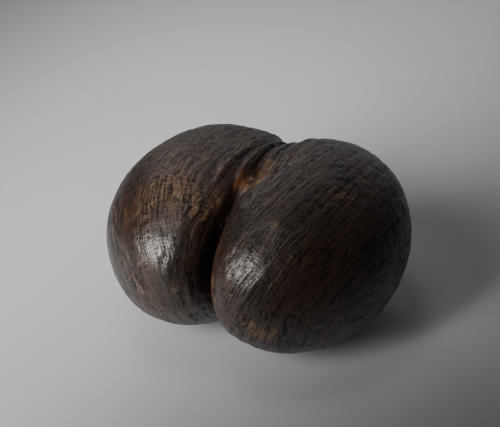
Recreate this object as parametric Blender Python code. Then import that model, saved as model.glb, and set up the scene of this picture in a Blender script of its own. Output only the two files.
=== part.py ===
"""Coco de mer nut: the hard two-lobed seed, one solid, lying on its broad face.

Metres, +Z up. The free tips of the lobes point to -Y, and the stem end, where the lobes are grown
together, to +Y. +X comes out of the right lobe's cheek. The origin is on the floor, under the middle
of the nut's box.

The skin is one ball whose poles are the two cheeks. Each ring of constant turn about X runs from a
cheek over the lobe's crest and down into the cleft between the lobes.
"""

import math

import bmesh
import bpy
from mathutils import Matrix, Vector, noise

# Each lobe, measured from its own centre
CREST_SPACING = 0.1289
HALF_WIDTH = 0.0888
TIP_LENGTH = 0.1412
STEM_LENGTH = 0.1325
TOP_HEIGHT = 0.0862
UNDER_HEIGHT = 0.0981
SIDE_POWER = 2.11
CHEEK_POWER = 1.97
CENTRE_HEIGHT = 0.0970
LEFT_LOBE_SIZE = 0.969

# How a lobe departs from an even egg: its stem end is fuller than its tip, both ends lift
# and draw in to the middle, and the whole lobe is turned slightly about each axis
WIDTH_TAPER = 0.081
HEIGHT_TAPER = 0.014
END_LIFT = 0.0141
END_DRAW_IN = 0.0161
TURN_ABOUT_Z = math.radians(-0.8)
TURN_ABOUT_X = math.radians(-1.6)
TURN_ABOUT_Y = math.radians(-1.6)

LOBE_TURN = (
    Matrix.Rotation(TURN_ABOUT_Y, 3, "Y")
    @ Matrix.Rotation(TURN_ABOUT_X, 3, "X")
    @ Matrix.Rotation(TURN_ABOUT_Z, 3, "Z")
)

# The floor of the cleft, an oval in the plane between the lobes: deep between the tips,
# and a shallow groove over the top, the stem end and the underside
NECK_Y = 0.012
NECK_Z = 0.095
NECK_TO_TIP = 0.080
NECK_TO_STEM = 0.104
NECK_UP = 0.078
NECK_DOWN = 0.080
NECK_POWER = 2.2

# The groove gives way to the deep cleft between these turns about X, away from the stem end
GROOVE_END = math.radians(107)
CLEFT_START = math.radians(133)

# A wall of the cleft, from the floor's middle line up to the lobe's crest: half widths of the
# deep cleft and of the groove at the foot and near the top of the wall
FLOOR_HALF_WIDTH = 0.0060
CLEFT_FOOT = 0.0025
CLEFT_TOP = 0.0029
GROOVE_FOOT = 0.0100
GROOVE_TOP = 0.0220
FOOT_SHARE = 0.35
TOP_SHARE = 0.857
SHOULDER_ROUND = 0.33

# The folds along the groove, with a crease down its middle line and one on each side of it
FOLD_HEIGHT = 0.0013
FOLD_SPACING = 0.0150
FOLD_REACH = 0.028
FOLD_WANDER = 0.35
FOLD_BENDS = 3

# The slight unevenness of the whole skin
SWELL_HEIGHT = 0.0012
SWELL_SIZE = 0.055

# The mesh: rings about X, and their points, shared out between the cleft's wall and the cheek
TURNS = 72
RINGS = 80
WALL_SHARE = 0.60

SHELL_COLOUR = (0.030, 0.020, 0.015, 1.0)
SHELL_ROUGHNESS = 0.42


def oval(turn, to_tip, to_stem, up, down, power):
    """The point at this turn about X on an oval with its own length in each of four directions."""
    c = math.cos(turn)
    s = math.sin(turn)
    length = to_stem if c > 0 else to_tip
    height = up if s > 0 else down
    reach = (abs(c / length) ** power + abs(s / height) ** power) ** (-1 / power)
    return reach * c, reach * s


def lobe_point(side, x, y, z):
    """Bends a point of the even egg into the real lobe. x runs outwards from the crest."""
    share = y / (STEM_LENGTH if y > 0 else TIP_LENGTH)
    x = x * (1 + WIDTH_TAPER * share) - END_DRAW_IN * share ** 2
    z = z * (1 + HEIGHT_TAPER * share) + END_LIFT * share ** 2
    size = LEFT_LOBE_SIZE if side < 0 else 1
    bent = LOBE_TURN @ Vector((x, y, z)) * size
    return Vector((side * (bent.x + CREST_SPACING / 2), bent.y, bent.z + CENTRE_HEIGHT * size))


def groove_share(turn):
    """1 where the lobes are parted by the shallow groove, and 0 where by the deep cleft."""
    share = min(max((CLEFT_START - abs(turn)) / (CLEFT_START - GROOVE_END), 0), 1)
    return share * share * (3 - 2 * share)


def neck_point(turn):
    y, z = oval(turn, NECK_TO_TIP, NECK_TO_STEM, NECK_UP, NECK_DOWN, NECK_POWER)
    return Vector((0, NECK_Y + y, NECK_Z + z))


def bezier(points, t):
    """The point at t on the curve with these control points."""
    while len(points) > 1:
        points = [a.lerp(b, t) for a, b in zip(points, points[1:])]
    return points[0]


def wall_point(side, turn, t):
    """A point of the cleft's wall: t is 0 on the floor's middle line and 1 on the lobe's crest."""
    y, z = oval(turn, TIP_LENGTH, STEM_LENGTH, TOP_HEIGHT, UNDER_HEIGHT, SIDE_POWER)
    crest = lobe_point(side, 0, y, z)
    shoulder = lobe_point(side, -SHOULDER_ROUND * HALF_WIDTH, y, z)
    floor = neck_point(turn)
    rise = Vector((0, crest.y - floor.y, crest.z - floor.z))
    floor_edge = floor + Vector((side * FLOOR_HALF_WIDTH, 0, 0))
    share = groove_share(turn)
    foot_half_width = CLEFT_FOOT + (GROOVE_FOOT - CLEFT_FOOT) * share
    top_half_width = CLEFT_TOP + (GROOVE_TOP - CLEFT_TOP) * share
    foot = floor + rise * FOOT_SHARE + Vector((side * foot_half_width, 0, 0))
    top = floor + rise * TOP_SHARE + Vector((side * top_half_width, 0, 0))
    return bezier([floor, floor_edge, foot, top, shoulder, crest], t)


def cheek_point(side, turn, t):
    """A point of the lobe's outer half: t is 0 on the crest and 1 on the cheek's pole."""
    y, z = oval(turn, TIP_LENGTH, STEM_LENGTH, TOP_HEIGHT, UNDER_HEIGHT, SIDE_POWER)
    angle = t * math.pi / 2
    out = math.sin(angle) ** (2 / CHEEK_POWER)
    rim = math.cos(angle) ** (2 / CHEEK_POWER)
    return lobe_point(side, HALF_WIDTH * out, y * rim, z * rim)


def fold_height(turn, across):
    """The folds' height at this distance across from the groove's middle line."""
    wander = FOLD_WANDER * math.sin(FOLD_BENDS * turn) * across / FOLD_SPACING
    wave = -math.cos(math.tau * across / FOLD_SPACING + wander)
    return FOLD_HEIGHT * groove_share(turn) * wave * math.exp(-((across / FOLD_REACH) ** 2))


def skin_point(side, depth, turn):
    """A point of the skin. depth is 0 on the cleft's middle line and 1 on the cheek's pole."""
    if depth < WALL_SHARE:
        point = wall_point(side, turn, depth / WALL_SHARE)
    else:
        point = cheek_point(side, turn, (depth - WALL_SHARE) / (1 - WALL_SHARE))
    outwards = Vector((0, point.y - NECK_Y, point.z - NECK_Z)).normalized()
    point += outwards * fold_height(turn, abs(point.x))
    from_centre = Vector((point.x, point.y - NECK_Y, point.z - NECK_Z)).normalized()
    return point + from_centre * SWELL_HEIGHT * noise.noise(point / SWELL_SIZE)


def make_nut(collection):
    """The ball, drawn into the nut's skin and pressed flat where the lobes rest on the floor."""
    bm = bmesh.new()
    bmesh.ops.create_uvsphere(bm, u_segments=TURNS, v_segments=RINGS, radius=1)
    for vertex in bm.verts:
        from_right_pole = math.acos(max(-1, min(1, vertex.co.z))) / math.pi
        side = 1 if from_right_pole <= 0.5 else -1
        turn = math.atan2(vertex.co.y, vertex.co.x)
        vertex.co = skin_point(side, abs(1 - 2 * from_right_pole), turn)
        vertex.co.z = max(vertex.co.z, 0)
    low = [min(v.co[i] for v in bm.verts) for i in range(2)]
    high = [max(v.co[i] for v in bm.verts) for i in range(2)]
    middle = Vector(((low[0] + high[0]) / 2, (low[1] + high[1]) / 2, 0))
    bmesh.ops.translate(bm, verts=bm.verts, vec=-middle)
    bmesh.ops.recalc_face_normals(bm, faces=bm.faces)
    mesh = bpy.data.meshes.new("nut")
    bm.to_mesh(mesh)
    bm.free()
    mesh.shade_smooth()
    nut = bpy.data.objects.new("nut", mesh)
    collection.objects.link(nut)
    return nut


def shell_material():
    material = bpy.data.materials.new("dark polished shell")
    material.use_nodes = True
    shader = material.node_tree.nodes["Principled BSDF"]
    shader.inputs["Base Color"].default_value = SHELL_COLOUR
    shader.inputs["Roughness"].default_value = SHELL_ROUGHNESS
    shader.inputs["Metallic"].default_value = 0.0
    return material


def main():
    for obj in list(bpy.data.objects):
        bpy.data.objects.remove(obj)
    collection = bpy.data.collections.new("coco de mer nut")
    bpy.context.scene.collection.children.link(collection)
    nut = make_nut(collection)
    nut.data.materials.append(shell_material())


main()
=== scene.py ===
"""Looks of the coco de mer nut: its fibrous polished shell, a pale floor and soft light.

Metres, +Z up. The nut lies on its broad face, with the lobes' free tips to -Y and the stem end to +Y.
"""

import math

import bpy
from bpy.props import FloatProperty, FloatVectorProperty, PointerProperty
from mathutils import Matrix, Vector, noise


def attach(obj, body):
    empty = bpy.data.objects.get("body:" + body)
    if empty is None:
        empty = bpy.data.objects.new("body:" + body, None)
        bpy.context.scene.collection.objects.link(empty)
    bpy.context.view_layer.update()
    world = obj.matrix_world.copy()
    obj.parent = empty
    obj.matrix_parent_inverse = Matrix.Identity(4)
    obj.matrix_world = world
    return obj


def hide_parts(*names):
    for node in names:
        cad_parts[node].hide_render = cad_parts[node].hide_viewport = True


bl_info = {
    "name": "Coco de Mer Nut",
    "version": (1, 0, 0),
    "blender": (4, 5, 0),
    "location": "View3D > Sidebar > Nut",
    "description": "Dresses the two-lobed seed with its fibrous polished shell",
    "category": "Object",
}

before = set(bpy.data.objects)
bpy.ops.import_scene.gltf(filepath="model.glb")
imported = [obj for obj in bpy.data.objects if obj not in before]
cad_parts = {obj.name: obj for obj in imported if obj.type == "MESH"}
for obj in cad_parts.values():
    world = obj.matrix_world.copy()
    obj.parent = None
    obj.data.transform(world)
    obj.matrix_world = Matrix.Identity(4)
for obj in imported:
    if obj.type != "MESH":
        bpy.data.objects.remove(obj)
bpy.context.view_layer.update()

# The smooth skin: CAD corners this close are one, and faces within this angle make one four-sided face
MERGE_DISTANCE = 0.00002
FLAT_ENOUGH = math.radians(60)
SMOOTHING_LEVELS = 2

# The relief fades out over this height above the floor, so that the flat spots stay flat
RESTING_HEIGHTS = (0.0005, 0.006)

# Where the fibres run: each field is a stack of planes, and the fibres lie in them. A field is given
# by the turns about Y and then Z that bring +X to its planes' normal. One field holds in the middle,
# and each side's own field takes over at these distances from the middle plane. The left lobe's
# free end has a field of its own, from these distances towards the tip. Out on the cheeks, where a
# side's planes only graze the skin, the fibres run level instead.
MIDDLE_FIELD = (0.0, 0.0)
RIGHT_FIELD = (math.radians(24), math.radians(-5))
LEFT_FIELD = (math.radians(-24), 0.0)
LEFT_TIP_FIELD = (math.radians(-19), math.radians(17))
CHEEK_FIELD = (math.radians(-90), 0.0)
SIDE_START = 0.012
SIDE_FULL = 0.048
TIP_START = 0.035
TIP_FULL = 0.075
CHEEK_START = 0.078
CHEEK_FULL = 0.102

# Fibres never run quite straight: they sway by this much, over waves of this size. The noise for it
# starts from a seed, so that the skin comes out the same each time.
SWAY = 0.004
SWAY_SIZE = 0.045
SWAY_SEED = 5

# The coarse ridges are about this long, and finer ones run between them. They are up to twice as high
# near the groove.
RIDGE_LENGTH = 0.075
FINE_RIDGE_SPACING_SHARE = 0.62
FINE_RIDGE_LENGTH = 0.045
FINE_RIDGE_SHARE = 0.5
FINE_RIDGE_OFFSET = 17
GROOVE_REACH = 0.030

# Only noise above this makes a dent, so the skin between the dents stays full
DENT_START = 0.1

# The slight lumps of the whole skin
LUMP_SIZE = 0.021
LUMP_HEIGHT = 0.0005
LUMP_OFFSET = Vector((5, 0, 0))

# The creases of the groove over the top, from the stem end to the pit: how far each one's lip
# reaches, its depth, and the (x, y) places it runs through
CREASES = (
    (0.0028, 0.0020, (
        (-0.0110, 0.110), (-0.0128, 0.063), (-0.0169, 0.040), (-0.0175, 0.014), (-0.0140, -0.030),
    )),
    (0.0024, 0.0022, (
        (-0.0050, 0.110), (-0.0045, 0.066), (-0.0035, 0.017), (0.0014, -0.012), (0.0020, -0.030),
    )),
    (0.0035, 0.0014, (
        (0.0060, 0.100), (0.0126, 0.046), (0.0199, 0.000), (0.0223, -0.018), (0.0230, -0.030),
    )),
)
DEEPEST_CREASE = 0.0022
GROOVE_LOWEST = 0.10
GROOVE_HALF_WIDTH = 0.05
CREASE_WANDER = 0.0012
CREASE_WAVE = 0.012
CREASE_OFFSET_SCALE = 90
CREASE_TIP_END = (-0.030, -0.012)
CREASE_STEM_END = (0.085, 0.115)

# The dip behind the right lobe's inner shoulder, where the groove opens into the pit: the line
# along the shoulder that it starts from, its depth, how far from the line it is steep and where it
# ends, and how far it fades in before and after the line's ends
DIP_START = Vector((0.012, -0.050))
DIP_END = Vector((0.040, 0.002))
DIP_DEPTH = 0.0068
DIP_STEEP = 0.0105
DIP_WIDTH = (0.014, 0.044)
DIP_FADE_IN = (-0.008, 0.012)
DIP_FADE_OUT = (-0.026, 0.020)

# Small hollows in the skin: where, how wide, and how deep
HOLLOWS = (
    ((-0.072, -0.088, 0.160), 0.0050, 0.0012),
    ((-0.080, -0.104, 0.146), 0.0060, 0.0009),
    ((-0.062, -0.094, 0.160), 0.0040, 0.0009),
    ((0.030, -0.030, 0.182), 0.0070, 0.0008),
    ((0.095, 0.020, 0.170), 0.0090, 0.0008),
)

# Worn, browner places on the polished shell: where, how far they reach, and how strong they are
WORN_SPOTS = (
    ((-0.078, -0.050, 0.170), 0.030, 0.34),
    ((-0.060, -0.066, 0.171), 0.026, 0.40),
    ((-0.036, -0.066, 0.169), 0.022, 0.50),
    ((-0.024, -0.090, 0.160), 0.020, 0.50),
    ((-0.067, -0.097, 0.161), 0.014, 0.50),
    ((-0.095, -0.100, 0.135), 0.030, 0.40),
    ((-0.070, -0.126, 0.110), 0.024, 0.40),
    ((-0.050, -0.020, 0.177), 0.020, 0.25),
    ((-0.060, -0.128, 0.090), 0.012, 0.60),
    ((-0.024, -0.126, 0.099), 0.008, 0.60),
    ((-0.030, 0.013, 0.176), 0.011, 0.60),
    ((-0.012, -0.057, 0.162), 0.012, 0.50),
    ((0.002, -0.022, 0.168), 0.012, 0.95),
    ((0.008, 0.012, 0.175), 0.014, 0.50),
    ((0.018, -0.010, 0.172), 0.018, 0.62),
    ((0.032, 0.020, 0.181), 0.018, 0.50),
    ((0.098, -0.018, 0.172), 0.026, 0.55),
    ((0.061, -0.089, 0.171), 0.008, 0.70),
    ((0.084, -0.106, 0.150), 0.008, 0.60),
    ((0.019, -0.129, 0.100), 0.008, 1.30),
    ((0.016, -0.122, 0.118), 0.008, 1.20),
    ((0.012, -0.112, 0.132), 0.008, 1.00),
    ((0.054, -0.134, 0.090), 0.009, 0.95),
    ((0.072, -0.125, 0.078), 0.012, 0.75),
    ((0.058, -0.126, 0.072), 0.012, 0.65),
)

# Rust-brown fibre: in the pit at the upper end of the deep cleft, and on the right lobe's edge along
# it. Each place has its reach along x, y and z, and its strength.
RUST_SPOTS = (
    ((-0.0055, -0.0245, 0.1665), (0.0036, 0.0085, 0.0080), 0.95),
    ((-0.0070, -0.0140, 0.1700), (0.0025, 0.0070, 0.0060), 0.6),
    ((0.0120, -0.1230, 0.1080), (0.0040, 0.0100, 0.0160), 0.9),
    ((0.0105, -0.1110, 0.1400), (0.0040, 0.0090, 0.0140), 0.7),
)

# The patterns of the shell's material. Streaks of fibre run up to 45 mm, with shorter hairs between
# them, bands across them, and cracks, ticks and scratches that cut or rub the skin. A pinhole comes
# every 3 mm and a speck of bare fibre every 5 mm.
STREAK_LENGTH = 0.045
HAIR_LENGTH = 0.012
BAND_WIDTH = 0.010
CRACK_LENGTH = 0.060
TICK_WIDTH = 0.012
SCRATCH_LENGTH = 0.090
RUBBED_LENGTH = 0.055
PINHOLE_SPACING = 0.0030
SPECK_SPACING = 0.0052

# The streaks sway by up to about 5 mm, in waves of about 40 mm
STREAK_SWAY = 0.011
STREAK_SWAY_SIZE = 1 / 24

# The grain, the clouds in which the skin is more or less worn, and patches of redder shell and fibre
GRAIN_SIZE = 0.0020
CLOUD_SIZE = 0.018
RED_PATCH_SIZE = 0.045
WARM_PATCH_SIZE = 0.009

# The shell's sheen: a hard seed shell bends light about as dense wood does, and the polish gives it
# a slightly warm glint. Crevices are duller than the tops of the fibres, and bare fibre is rougher.
SHELL_IOR = 1.55
GLINT_COLOUR = (1.0, 0.94, 0.89, 1.0)
CREVICE_ROUGHNESS = 0.50
POLISHED_ROUGHNESS = 0.36
BARE_ROUGHER_BY = 0.12
# The groove's creases are darkened towards the crevice colour by this share: painted shade
CREASE_PAINTED_SHADE = 0.8
CREASE_DULLER_BY = 0.7
CREVICE_GLOSS = 0.24
POLISHED_GLOSS = 1.0

# The camera stands where the photograph was taken from: its distance in pixels of a photograph this
# wide gives the lens
PHOTO_WIDTH_PX = 500
CAMERA_DISTANCE_PX = 1400
SENSOR_WIDTH = 36.0
CAMERA_PLACE = Vector((0.4988, -1.0773, 0.8331))
CAMERA_TARGET = Vector((-0.0101, 0.0094, 0.1121))

# The floor lies just under the nut, and reaches far beyond the picture
FLOOR_PLACE = (0, 0.6, -0.0002)
FLOOR_SIZE = (9, 6)
FLOOR_ROUGHNESS = 0.75

# Each lamp's place, the place on the floor that it points at, its width and height, and its spread
LAMPS = {
    "window": ((-0.4235, -0.836, 0.6675), (-0.24, 0.45, 0.0), (0.58, 1.15), math.radians(46)),
    "ceiling": ((-0.30, -0.15, 1.4), (-0.15, 0.0, 0.0), (0.60, 0.60), math.radians(44)),
    "far window": ((-0.95, 0.90, 0.85), (-0.34, 0.34, 0.0), (0.50, 0.50), math.radians(50)),
}

# The room is brightest low down behind the nut, and dark outside this cosine of the angle from there
BRIGHT_SIDE = Vector((-0.30, 0.92, 0.26)).normalized()
BRIGHT_SIDE_EDGE = 0.72
SKY_COLOUR = (0.97, 0.98, 1.0, 1)

# The kinds of node that are used most, and the settings that go with them
NOISE = "ShaderNodeTexNoise"
CELLS = "ShaderNodeTexVoronoi"
STEP = "ShaderNodeMapRange"
MATHS = "ShaderNodeMath"
VECTOR = "ShaderNodeVectorMath"
MIX = "ShaderNodeMix"
SOFT = {"interpolation_type": "SMOOTHSTEP"}
COLOURS = {"data_type": "RGBA"}


def linear(hex_colour):
    """An sRGB hex colour as linear red, green and blue."""
    channels = [int(hex_colour[i:i + 2], 16) / 255 for i in (1, 3, 5)]
    return tuple(c / 12.92 if c <= 0.04045 else ((c + 0.055) / 1.055) ** 2.4 for c in channels)


def smoothstep(low, high, value):
    share = min(max((value - low) / (high - low), 0), 1)
    return share * share * (3 - 2 * share)


def field_turn(field):
    """The rotation that brings +X to the normal of the field's planes."""
    about_y, about_z = field
    return Matrix.Rotation(about_z, 3, "Z") @ Matrix.Rotation(about_y, 3, "Y")


def field_normal(field):
    return field_turn(field) @ Vector((1, 0, 0))


class NutSettings(bpy.types.PropertyGroup):
    flute_spacing: FloatProperty(
        name="Flute spacing", description="Distance between the coarse ridges along the fibres",
        default=0.0052, unit="LENGTH",
    )
    flute_height: FloatProperty(
        name="Flute height", description="Height of the coarse ridges",
        default=0.00046, unit="LENGTH",
    )
    dent_spacing: FloatProperty(
        name="Dent spacing", description="Distance between the shallow dents across the fibres",
        default=0.0078, unit="LENGTH",
    )
    dent_depth: FloatProperty(
        name="Dent depth", description="Depth of the shallow dents",
        default=0.0008, unit="LENGTH",
    )
    fibre_spacing: FloatProperty(
        name="Fibre spacing", description="Distance between the fine fibre streaks",
        default=0.0021, unit="LENGTH",
    )
    fibre_height: FloatProperty(
        name="Fibre height", description="Height of the fine fibre streaks",
        default=0.00052, unit="LENGTH",
    )
    shell_colour: FloatVectorProperty(
        name="Shell", description="The dark polished shell",
        default=linear("#1E140E"), subtype="COLOR", size=3, min=0, max=1,
    )
    # The crevice colour: the dark between the fibres together with painted shade in the crevices and
    # creases
    crevice_and_shade_colour: FloatVectorProperty(
        name="Crevice", description="The blackest places, down between the fibres",
        default=linear("#0A0705"), subtype="COLOR", size=3, min=0, max=1,
    )
    red_shell_colour: FloatVectorProperty(
        name="Red shell", description="Redder parts of the dark shell",
        default=linear("#30190E"), subtype="COLOR", size=3, min=0, max=1,
    )
    worn_colour: FloatVectorProperty(
        name="Worn", description="Fibre laid bare where the dark skin is worn off",
        default=linear("#6C5538"), subtype="COLOR", size=3, min=0, max=1,
    )
    warm_worn_colour: FloatVectorProperty(
        name="Warm worn", description="Redder fibre among the worn",
        default=linear("#5C351A"), subtype="COLOR", size=3, min=0, max=1,
    )
    rust_colour: FloatVectorProperty(
        name="Rust", description="The rust-brown fibre in the pit and on the edge of the cleft",
        default=linear("#6E3F1A"), subtype="COLOR", size=3, min=0, max=1,
    )


class StageSettings(bpy.types.PropertyGroup):
    floor_colour: FloatVectorProperty(
        name="Floor", description="The pale floor and backdrop",
        default=linear("#C2C2C3"), subtype="COLOR", size=3, min=0, max=1,
    )
    window_power: FloatProperty(
        name="Window", description="Power of the large soft window light in watts",
        default=5.7, min=0,
    )
    ceiling_power: FloatProperty(
        name="Ceiling", description="Power of the weak soft light overhead in watts",
        default=0.2, min=0,
    )
    far_window_power: FloatProperty(
        name="Far window", description="Power of the weak window behind and to the left in watts",
        default=0.24, min=0,
    )
    sky_strength: FloatProperty(
        name="Sky", description="Strength of the light from the room's bright side",
        default=0.34, min=0,
    )
    shade_strength: FloatProperty(
        name="Shade", description="Strength of the light from the room's dark side",
        default=0.05, min=0,
    )


def fibre_noise(point, spacing, length, offset):
    """Noise drawn out along the fibres, from about -1 to 1."""
    side_field = RIGHT_FIELD if point.x > 0 else LEFT_FIELD
    cheek = smoothstep(CHEEK_START, CHEEK_FULL, abs(point.dot(field_normal(side_field))))
    side = smoothstep(SIDE_START, SIDE_FULL, abs(point.x)) * (1 - cheek)
    tip = smoothstep(TIP_START, TIP_FULL, -point.y) if point.x < 0 else 0
    shares = (
        (MIDDLE_FIELD, 1 - side - cheek),
        (CHEEK_FIELD, cheek),
        (RIGHT_FIELD, side if point.x > 0 else 0),
        (LEFT_FIELD, side * (1 - tip) if point.x < 0 else 0),
        (LEFT_TIP_FIELD, side * tip),
    )
    value = 0
    for field, share in shares:
        if share > 0:
            across = field_turn(field).transposed() @ point
            stretched = Vector((across.x / spacing, across.y / length, across.z / length + offset))
            value += share * noise.noise(stretched)
    return value


def crease_depth(point):
    """How deep the creases of the groove are here, dying out at both ends."""
    if point.z < GROOVE_LOWEST or abs(point.x) > GROOVE_HALF_WIDTH:
        return 0
    total = 0
    for reach, depth, places in CREASES:
        for (x0, y0), (x1, y1) in zip(places, places[1:]):
            if y0 >= point.y >= y1:
                middle = x0 + (x1 - x0) * (y0 - point.y) / (y0 - y1)
                wander = noise.noise(Vector((0, point.y / CREASE_WAVE, x0 * CREASE_OFFSET_SCALE)))
                total += depth * math.exp(-abs(point.x - middle - CREASE_WANDER * wander) / reach)
    return total * smoothstep(*CREASE_TIP_END, point.y) * (1 - smoothstep(*CREASE_STEM_END, point.y))


def dip_depth(point):
    """How deep the dip behind the right lobe's inner shoulder is here."""
    if point.z <= GROOVE_LOWEST:
        return 0
    line = DIP_END - DIP_START
    from_start = Vector((point.x, point.y)) - DIP_START
    along = from_start.dot(line.normalized())
    behind = from_start.dot(Vector((-line.y, line.x)).normalized())
    profile = smoothstep(0, DIP_STEEP, behind) * (1 - smoothstep(*DIP_WIDTH, behind))
    ends = smoothstep(*DIP_FADE_IN, along) * (1 - smoothstep(*DIP_FADE_OUT, along - line.length))
    return DIP_DEPTH * profile * ends


def nearness(point, spot, reach):
    """1 at the spot, and falling softly to 0 over its reach."""
    return math.exp(-((point - Vector(spot)).length / reach) ** 2)


def shell_relief(point, settings):
    """Height of the shell's relief at this point, without the finest fibres."""
    swayed = point + noise.noise_vector(point / SWAY_SIZE) * SWAY
    fine_spacing = settings.flute_spacing * FINE_RIDGE_SPACING_SHARE
    flutes = fibre_noise(swayed, settings.flute_spacing, RIDGE_LENGTH, 0)
    flutes += FINE_RIDGE_SHARE * fibre_noise(swayed, fine_spacing, FINE_RIDGE_LENGTH, FINE_RIDGE_OFFSET)
    near_groove = math.exp(-((point.x / GROOVE_REACH) ** 2))
    height = flutes * settings.flute_height * (1 + near_groove)
    dents = noise.noise(swayed / settings.dent_spacing)
    height -= max(dents - DENT_START, 0) * settings.dent_depth * 2
    height += noise.noise(point / LUMP_SIZE + LUMP_OFFSET) * LUMP_HEIGHT
    for spot, reach, depth in HOLLOWS:
        height -= depth * nearness(point, spot, reach)
    return height - crease_depth(point) - dip_depth(point)


def worn_share(point):
    return min(sum(strength * nearness(point, spot, reach) for spot, reach, strength in WORN_SPOTS), 1)


def rust_share(point):
    total = 0
    for spot, reaches, strength in RUST_SPOTS:
        away = sum(((a - b) / reach) ** 2 for a, b, reach in zip(point, spot, reaches))
        total += strength * math.exp(-away)
    return min(total, 1)


class NUT_OT_shell(bpy.types.Operator):
    """Grows the finished shell from the solid nut: smooth skin, fibre relief and worn places"""

    bl_idname = "nut.shell"
    bl_label = "Shell"

    def execute(self, context):
        settings = context.scene.nut_settings
        shell = bpy.data.objects.new("nut_shell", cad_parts["nut"].data.copy())
        context.scene.collection.objects.link(shell)
        bpy.ops.object.select_all(action="DESELECT")
        shell.select_set(True)
        context.view_layer.objects.active = shell
        self.smooth_skin(shell)
        self.raise_relief(shell.data, settings)
        shell.data.materials.clear()
        shell.data.materials.append(shell_material(settings))
        bpy.ops.object.shade_smooth()
        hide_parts("nut")
        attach(shell, "root")
        return {"FINISHED"}

    def smooth_skin(self, shell):
        """Joins the solid's loose triangles into four-sided faces and rounds them off."""
        bpy.ops.object.mode_set(mode="EDIT")
        bpy.ops.mesh.select_all(action="SELECT")
        bpy.ops.mesh.remove_doubles(threshold=MERGE_DISTANCE)
        bpy.ops.mesh.tris_convert_to_quads(
            face_threshold=FLAT_ENOUGH, shape_threshold=FLAT_ENOUGH, topology_influence=1.0)
        bpy.ops.object.mode_set(mode="OBJECT")
        smooth = shell.modifiers.new("smooth skin", "SUBSURF")
        smooth.levels = SMOOTHING_LEVELS
        smooth.render_levels = SMOOTHING_LEVELS
        bpy.ops.object.modifier_apply(modifier=smooth.name)

    def raise_relief(self, mesh, settings):
        """Moves the skin by its relief. The material reads each point's worn, crease and rust shares."""
        noise.seed_set(SWAY_SEED)
        tone = mesh.attributes.new("tone", "FLOAT_COLOR", "POINT")
        moved = []
        for vertex in mesh.vertices:
            point = vertex.co
            lifted = smoothstep(*RESTING_HEIGHTS, point.z)
            crease = min(crease_depth(point) / DEEPEST_CREASE, 1)
            tone.data[vertex.index].color = (worn_share(point), crease, rust_share(point), 1)
            moved.append(point + vertex.normal * shell_relief(point, settings) * lifted)
        for vertex, place in zip(mesh.vertices, moved):
            vertex.co = (place.x, place.y, max(place.z, 0))
        mesh.update()


def add_node(tree, kind, settings, inputs):
    """Adds a node and gives its outputs. An input is another node's output, a number or a colour."""
    node = tree.nodes.new(kind)
    for name, value in settings.items():
        setattr(node, name, value)
    for name, value in inputs.items():
        if isinstance(value, bpy.types.NodeSocket):
            tree.links.new(value, node.inputs[name])
        else:
            node.inputs[name].default_value = value
    return node.outputs


def weighted_sum(tree, parts, start=0.0):
    """Adds up outputs, each times its weight, from a number or an output to start with."""
    for part, weight in parts:
        start = add_node(tree, MATHS, {"operation": "MULTIPLY_ADD"}, {0: part, 1: weight, 2: start})[0]
    return start


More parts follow.
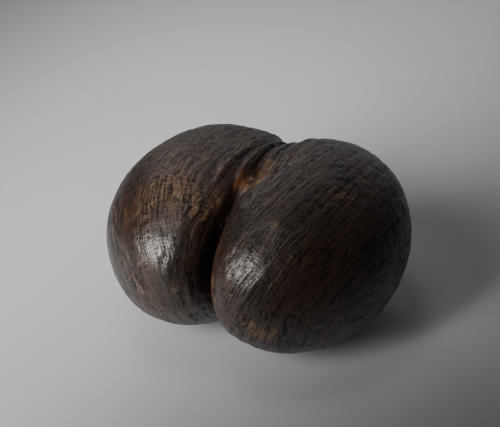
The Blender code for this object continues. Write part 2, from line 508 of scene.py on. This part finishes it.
def shell_material(settings):
    """Palm seed shell, scraped clean and polished by hand.

    It is hard and close in grain, so to the eye it is near black with a satin sheen, and its glints
    break up along the fibres. Where the dark skin is worn off, the fibre under it is brown and duller.
    """
    material = bpy.data.materials.new("polished palm seed shell")
    material.use_nodes = True
    tree = material.node_tree
    tree.nodes.clear()
    place = add_node(tree, "ShaderNodeTexCoord", {}, {})["Object"]

    sway = add_node(
        tree, NOISE, {}, {"Vector": place, "Scale": 1 / STREAK_SWAY_SIZE, "Detail": 2.0})["Color"]
    centred = add_node(tree, VECTOR, {"operation": "SUBTRACT"}, {0: sway, 1: (0.5, 0.5, 0.5)})[0]
    swayed = add_node(
        tree, VECTOR, {"operation": "MULTIPLY_ADD"}, {0: centred, 1: (STREAK_SWAY,) * 3, 2: place})[0]

    # How much of each field of fibres shows here
    x, y, _ = add_node(tree, "ShaderNodeSeparateXYZ", {}, {0: place})
    right = add_node(tree, STEP, SOFT, {"Value": x, "From Min": SIDE_START, "From Max": SIDE_FULL})[0]
    left = add_node(tree, STEP, SOFT, {"Value": x, "From Min": -SIDE_START, "From Max": -SIDE_FULL})[0]
    tip = add_node(tree, STEP, SOFT, {"Value": y, "From Min": -TIP_START, "From Max": -TIP_FULL})[0]
    cheek = 0.0
    for on_side, field in ((right, RIGHT_FIELD), (left, LEFT_FIELD)):
        out = add_node(
            tree, VECTOR, {"operation": "DOT_PRODUCT"}, {0: place, 1: field_normal(field)})["Value"]
        far_out = add_node(tree, MATHS, {"operation": "ABSOLUTE"}, {0: out})[0]
        grazing = add_node(
            tree, STEP, SOFT, {"Value": far_out, "From Min": CHEEK_START, "From Max": CHEEK_FULL})[0]
        cheek = weighted_sum(tree, ((on_side, grazing),), cheek)

    def fibres(across, along, detail):
        """Noise in streaks of this width and length, one field running into the next."""
        scale = (across, along, along)
        streaks = []
        for field in (MIDDLE_FIELD, RIGHT_FIELD, LEFT_FIELD, LEFT_TIP_FIELD, CHEEK_FIELD):
            turned = add_node(
                tree, "ShaderNodeMapping", {"vector_type": "TEXTURE"},
                {"Vector": swayed, "Rotation": field_turn(field).to_euler(), "Scale": scale})[0]
            streaks.append(add_node(
                tree, NOISE, {}, {"Vector": turned, "Scale": 1.0, "Detail": detail, "Roughness": 0.6})[0])
        middle, on_right, on_left, on_left_tip, on_cheek = streaks
        on_left = add_node(tree, MIX, {}, {0: tip, 2: on_left, 3: on_left_tip})[0]
        value = middle
        for share, other in ((right, on_right), (left, on_left), (cheek, on_cheek)):
            value = add_node(tree, MIX, {}, {0: share, 2: value, 3: other})[0]
        return value

    def ridges(value, low, high):
        """A noise made into separate ridges: 0 up to its low value, and 1 from its high value on."""
        return add_node(tree, STEP, SOFT, {"Value": value, "From Min": low, "From Max": high})[0]

    def thin_lines(value, width):
        """1 along the thin lines where a noise passes its middle value, and 0 away from them."""
        off_middle = weighted_sum(tree, ((value, 1.0),), -0.5)
        off_middle = add_node(tree, MATHS, {"operation": "ABSOLUTE"}, {0: off_middle})[0]
        return ridges(off_middle, width, width * 0.1)

    # Streaks along the fibres 2.1 mm apart, bands across them, and hairs 1.3 mm apart. Real fibres
    # are a few tenths of a millimetre wide, too fine to show in the render, so they are drawn as bundles.
    spacing = settings.fibre_spacing
    streaks = ridges(fibres(spacing, STREAK_LENGTH, 1.5), 0.34, 0.66)
    bands = ridges(fibres(BAND_WIDTH, spacing * 1.2, 1.0), 0.36, 0.64)
    hairs = ridges(fibres(spacing * 0.6, HAIR_LENGTH, 1.0), 0.36, 0.64)

    # The real grain is under a millimetre, and is drawn at 2 mm so that it shows in the render
    grain = add_node(
        tree, NOISE, {}, {"Vector": place, "Scale": 1 / GRAIN_SIZE, "Detail": 2.0, "Roughness": 0.6})[0]
    grain = ridges(grain, 0.36, 0.64)
    clouds = add_node(
        tree, NOISE, {}, {"Vector": swayed, "Scale": 1 / CLOUD_SIZE, "Detail": 3.0, "Roughness": 0.65})[0]

    # Openings, painted dark partly with painted shade: cracks along the fibres, ticks across them, and
    # pinholes
    cracks = thin_lines(fibres(spacing * 2.4, CRACK_LENGTH, 1.0), 0.05)
    ticks = thin_lines(fibres(TICK_WIDTH, spacing * 2.3, 1.0), 0.05)
    holes = add_node(
        tree, CELLS, {}, {"Vector": swayed, "Scale": 1 / PINHOLE_SPACING, "Randomness": 1.0})["Distance"]
    filled = ridges(weighted_sum(tree, ((holes, 1.0), (clouds, -0.9)), 0.30), 0.0, 0.22)
    whole_skin = weighted_sum(tree, ((cracks, -0.29), (ticks, -0.31), (filled, 0.40)), 0.60)

    # All of these make one height, from 0 in the crevices to 1 on top of the fibres
    height = weighted_sum(
        tree, ((streaks, 0.27), (whole_skin, 0.29), (bands, 0.14), (hairs, 0.15), (grain, 0.15)))

    # Bare fibre: in the worn places, along scratches about 11 mm apart and rubbed ridges about 6 mm
    # apart, and in specks. These marks are strongest in the clouds.
    tone = add_node(tree, "ShaderNodeAttribute", {"attribute_name": "tone"}, {})["Color"]
    worn, crease, rust = add_node(tree, "ShaderNodeSeparateColor", {}, {0: tone})
    bare = ridges(weighted_sum(tree, ((worn, 0.75), (clouds, 0.80), (height, 1.1))), 1.38, 1.88)
    scratches = thin_lines(fibres(spacing * 5.2, SCRATCH_LENGTH, 0.0), 0.014)
    rubbed = thin_lines(fibres(spacing * 2.9, RUBBED_LENGTH, 1.0), 0.035)
    specks = add_node(
        tree, CELLS, {}, {"Vector": place, "Scale": 1 / SPECK_SPACING, "Randomness": 1.0})["Distance"]
    specks = ridges(specks, 0.20, 0.08)
    marks = (
        (scratches, (0.44, 0.62), (0.0, 0.50)),
        (rubbed, (0.44, 0.66), (0.02, 0.20)),
        (specks, (0.42, 0.60), (0.0, 0.85)),
    )
    for mark, (low, high), (weakest, strongest) in marks:
        strength = add_node(tree, STEP, SOFT, {
            "Value": clouds, "From Min": low, "From Max": high, "To Min": weakest, "To Max": strongest,
        })[0]
        shown = add_node(tree, MATHS, {"operation": "MULTIPLY"}, {0: mark, 1: strength})[0]
        bare = add_node(tree, MATHS, {"operation": "MAXIMUM"}, {0: bare, 1: shown})[0]

    # Near black down in the crevices, dark colour and painted shade together; on top, dark and reddish
    # shell
    shell, crevice_and_shade, red_shell, worn_fibre, warm_worn_fibre, rust_fibre = (
        (*colour, 1) for colour in (
            settings.shell_colour, settings.crevice_and_shade_colour, settings.red_shell_colour,
            settings.worn_colour, settings.warm_worn_colour, settings.rust_colour))
    redness = add_node(tree, NOISE, {}, {"Vector": place, "Scale": 1 / RED_PATCH_SIZE, "Detail": 3.0})[0]
    skin = add_node(tree, MIX, COLOURS, {0: ridges(redness, 0.38, 0.60), 6: shell, 7: red_shell})[2]
    # Low places take the crevice colour: partly the fibres' dark colour, partly painted shade
    skin = add_node(tree, MIX, COLOURS, {0: ridges(height, 0.30, 0.70), 6: crevice_and_shade, 7: skin})[2]

    # Bare fibre is tan or reddish, and the dark shell stays on low down between its strands
    relief = ridges(height, 0.28, 0.72)
    warmth = add_node(tree, NOISE, {}, {"Vector": place, "Scale": 1 / WARM_PATCH_SIZE, "Detail": 2.0})[0]
    warm = ridges(warmth, 0.42, 0.62)
    fibre = add_node(tree, MIX, COLOURS, {0: warm, 6: worn_fibre, 7: warm_worn_fibre})[2]
    fibre = add_node(tree, MIX, COLOURS, {0: relief, 6: red_shell, 7: fibre})[2]
    rust_fibre = add_node(tree, MIX, COLOURS, {0: relief, 6: red_shell, 7: rust_fibre})[2]

    # Worn fibre over the skin, rust over both, and last painted shade in the creases of the groove
    height_in_rust = weighted_sum(tree, ((height, 1.0),), clouds)
    rusty = add_node(tree, MATHS, {"operation": "MULTIPLY"}, {0: rust, 1: height_in_rust})[0]
    shade = add_node(tree, MIX, COLOURS, {0: bare, 6: skin, 7: fibre})[2]
    shade = add_node(tree, MIX, COLOURS, {0: ridges(rusty, 0.25, 1.0), 6: shade, 7: rust_fibre})[2]
    # Painted shade: the creases of the groove darkened towards the crevice colour
    crease_painted_shade = weighted_sum(tree, ((crease, CREASE_PAINTED_SHADE),))
    shade = add_node(tree, MIX, COLOURS, {0: crease_painted_shade, 6: shade, 7: crevice_and_shade})[2]

    # Hand polish reaches the tops of the fibres and misses the crevices and the groove's creases
    bump = add_node(
        tree, "ShaderNodeBump", {},
        {"Height": height, "Strength": 1.0, "Distance": settings.fibre_height})[0]
    roughness = add_node(tree, STEP, SOFT, {
        "Value": height, "From Min": 0.30, "From Max": 0.80,
        "To Min": CREVICE_ROUGHNESS, "To Max": POLISHED_ROUGHNESS,
    })[0]
    roughness = weighted_sum(tree, ((bare, BARE_ROUGHER_BY),), roughness)
    gloss = add_node(tree, STEP, SOFT, {
        "Value": height, "From Min": 0.30, "From Max": 0.66,
        "To Min": CREVICE_GLOSS, "To Max": POLISHED_GLOSS,
    })[0]
    open_to_light = weighted_sum(tree, ((crease, -CREASE_DULLER_BY),), 1.0)
    gloss = add_node(tree, MATHS, {"operation": "MULTIPLY"}, {0: gloss, 1: open_to_light})[0]
    surface = add_node(tree, "ShaderNodeBsdfPrincipled", {}, {
        "Base Color": shade, "Roughness": roughness, "Specular IOR Level": gloss, "Normal": bump,
        "IOR": SHELL_IOR, "Specular Tint": GLINT_COLOUR,
    })[0]
    add_node(tree, "ShaderNodeOutputMaterial", {}, {"Surface": surface})
    return material


def place_towards(obj, place, target):
    """Puts a lamp or camera at a place, looking at a target."""
    obj.location = place
    obj.rotation_euler = (target - place).to_track_quat("-Z", "Y").to_euler()


class NUT_OT_stage(bpy.types.Operator):
    """Lays the pale floor, hangs the soft lights and sets up the camera"""

    bl_idname = "nut.stage"
    bl_label = "Stage"

    def execute(self, context):
        settings = context.scene.stage_settings
        self.lay_floor(context, settings)
        self.hang_lights(context, settings)
        self.light_room(context, settings)
        self.set_camera(context)
        return {"FINISHED"}

    def lay_floor(self, context, settings):
        """Lays a painted board, matt so that the nut is not mirrored in it."""
        bpy.ops.object.select_all(action="DESELECT")
        bpy.ops.mesh.primitive_plane_add(size=1, location=FLOOR_PLACE)
        floor = context.object
        floor.name = "floor"
        floor.data.transform(Matrix.Diagonal((*FLOOR_SIZE, 1, 1)))
        material = bpy.data.materials.new("matt pale board")
        material.use_nodes = True
        shader = material.node_tree.nodes["Principled BSDF"]
        shader.inputs["Base Color"].default_value = (*settings.floor_colour, 1)
        shader.inputs["Roughness"].default_value = FLOOR_ROUGHNESS
        floor.data.materials.append(material)

    def hang_lights(self, context, settings):
        """Hangs the soft rectangular lamps, each pointing at its place on the floor."""
        powers = (settings.window_power, settings.ceiling_power, settings.far_window_power)
        for (name, (place, aim, size, spread)), power in zip(LAMPS.items(), powers):
            data = bpy.data.lights.new(name, "AREA")
            data.shape = "RECTANGLE"
            data.size, data.size_y = size
            data.spread = spread
            data.energy = power
            lamp = bpy.data.objects.new(name, data)
            context.scene.collection.objects.link(lamp)
            place_towards(lamp, Vector(place), Vector(aim))

    def light_room(self, context, settings):
        """Gives the room a dim even light, and a soft bright side."""
        world = bpy.data.worlds.new("room light")
        world.use_nodes = True
        tree = world.node_tree
        direction = add_node(tree, "ShaderNodeTexCoord", {}, {})["Generated"]
        facing = add_node(
            tree, VECTOR, {"operation": "DOT_PRODUCT"}, {0: direction, 1: BRIGHT_SIDE})["Value"]
        strength = add_node(tree, STEP, SOFT, {
            "Value": facing, "From Min": BRIGHT_SIDE_EDGE, "From Max": 1.0,
            "To Min": settings.shade_strength, "To Max": settings.sky_strength,
        })[0]
        background = tree.nodes["Background"]
        tree.links.new(strength, background.inputs["Strength"])
        background.inputs["Color"].default_value = SKY_COLOUR
        context.scene.world = world

    def set_camera(self, context):
        data = bpy.data.cameras.new("camera")
        data.sensor_width = SENSOR_WIDTH
        data.lens = SENSOR_WIDTH * CAMERA_DISTANCE_PX / PHOTO_WIDTH_PX
        camera = bpy.data.objects.new("camera", data)
        context.scene.collection.objects.link(camera)
        place_towards(camera, CAMERA_PLACE, CAMERA_TARGET)
        context.scene.camera = camera


class NUT_PT_panel(bpy.types.Panel):
    bl_idname = "NUT_PT_panel"
    bl_label = "Coco de Mer Nut"
    bl_space_type = "VIEW_3D"
    bl_region_type = "UI"
    bl_category = "Nut"

    def draw(self, context):
        for settings in (context.scene.nut_settings, context.scene.stage_settings):
            for name in settings.__annotations__:
                self.layout.prop(settings, name)
        self.layout.operator(NUT_OT_shell.bl_idname)
        self.layout.operator(NUT_OT_stage.bl_idname)


CLASSES = (NutSettings, StageSettings, NUT_OT_shell, NUT_OT_stage, NUT_PT_panel)


def register():
    for cls in CLASSES:
        bpy.utils.register_class(cls)
    bpy.types.Scene.nut_settings = PointerProperty(type=NutSettings)
    bpy.types.Scene.stage_settings = PointerProperty(type=StageSettings)


def unregister():
    del bpy.types.Scene.nut_settings
    del bpy.types.Scene.stage_settings
    for cls in reversed(CLASSES):
        bpy.utils.unregister_class(cls)


def main():
    register()
    bpy.ops.nut.shell()
    bpy.ops.nut.stage()


if __name__ == "__main__":
    main()
